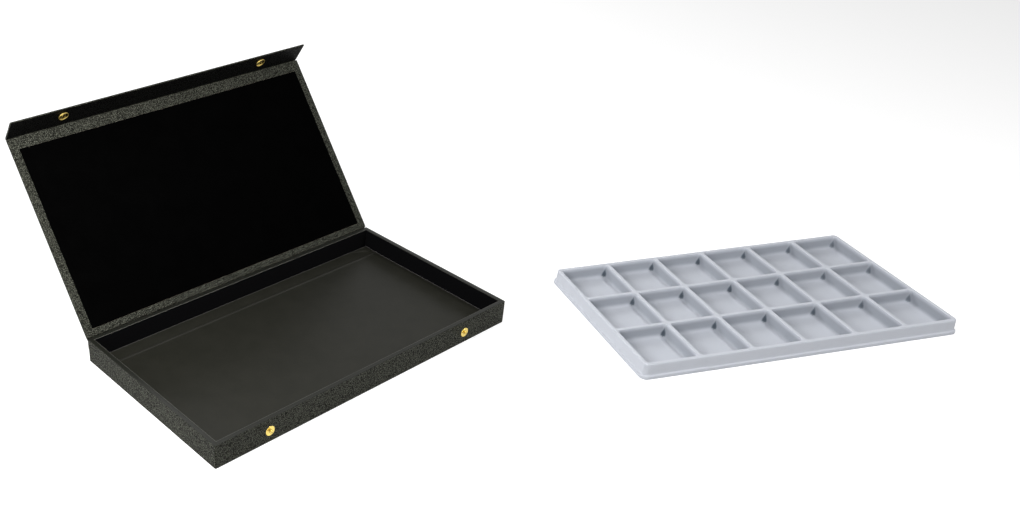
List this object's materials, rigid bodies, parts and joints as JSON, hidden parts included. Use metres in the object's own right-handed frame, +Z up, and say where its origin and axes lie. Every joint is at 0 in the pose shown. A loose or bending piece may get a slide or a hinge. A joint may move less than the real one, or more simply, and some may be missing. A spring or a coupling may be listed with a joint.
{
  "type": "miniature carry case",
  "caption": "Shallow leatherette board case with a cloth-hinged lid, a folding snap flap and a loose flocked cell insert for miniatures.",
  "frame": {"origin": "centre of the underside of the case, on the surface it stands on", "axes": "+X along the long side, -Y towards the snap side, +Z up; at rest the lid stands open, the flap is half folded and the insert lies beside the case"},
  "size_m": [0.8036, 0.6476, 0.2155],
  "materials": {
    "leatherette": "pebbled black leatherette, satin",
    "board": "grey-brown chipboard, matt",
    "base_paper": "black base paper, matt",
    "wall_lining": "black lining paper over thin board, matt",
    "floor_paper": "dark grey floor paper, matt, faintly mottled",
    "velvet": "black velvet",
    "flap_lining": "near-black leatherette panel, fine pebble, matt",
    "brass": "pale bright brass plate",
    "spring_wire": "plain spring wire",
    "flock": "pale bluish grey flock on thin formed sheet"
  },
  "bodies": {
    "box": {"box_wrap": "leatherette", "base_board": "board", "base_paper": "base_paper", "front_board": "board", "rear_board": "board", "left_board": "board", "right_board": "board", "front_lining": "wall_lining", "rear_lining": "wall_lining", "left_lining": "wall_lining", "right_lining": "wall_lining", "floor_liner": "floor_paper", "floor_pad": "floor_paper", "snap_studs": "brass", "stud_rivets": "brass", "rear_hinge_cloth": "leatherette"},
    "lid": {"lid_wrap": "leatherette", "lid_board": "board", "lid_velvet": "velvet", "flap_hinge_cloth": "leatherette"},
    "flap": {"flap_wrap": "leatherette", "flap_board": "board", "flap_lining": "flap_lining", "snap_sockets": "brass", "snap_springs": "spring_wire", "snap_caps": "brass"},
    "insert": {"insert_tray": "flock"}
  },
  "joints": [
    {"name": "lid_hinge", "type": "hinge", "parent": "box", "child": "lid", "pos_m": [0, 0.10477, 0.0254], "axis": [1, 0, 0], "range_deg": [0, 127.5], "deforming": ["rear_hinge_cloth"]},
    {"name": "flap_hinge", "type": "hinge", "parent": "lid", "child": "flap", "pos_m": [0, 0.23704, 0.19334], "axis": [1, 0, 0], "range_deg": [-71.5, 18.5], "deforming": ["flap_hinge_cloth"]},
    {"name": "insert_lift", "type": "slide", "parent": "box", "child": "insert", "axis": [0, 0, 1], "range_m": [0, 0.1]}
  ]
}
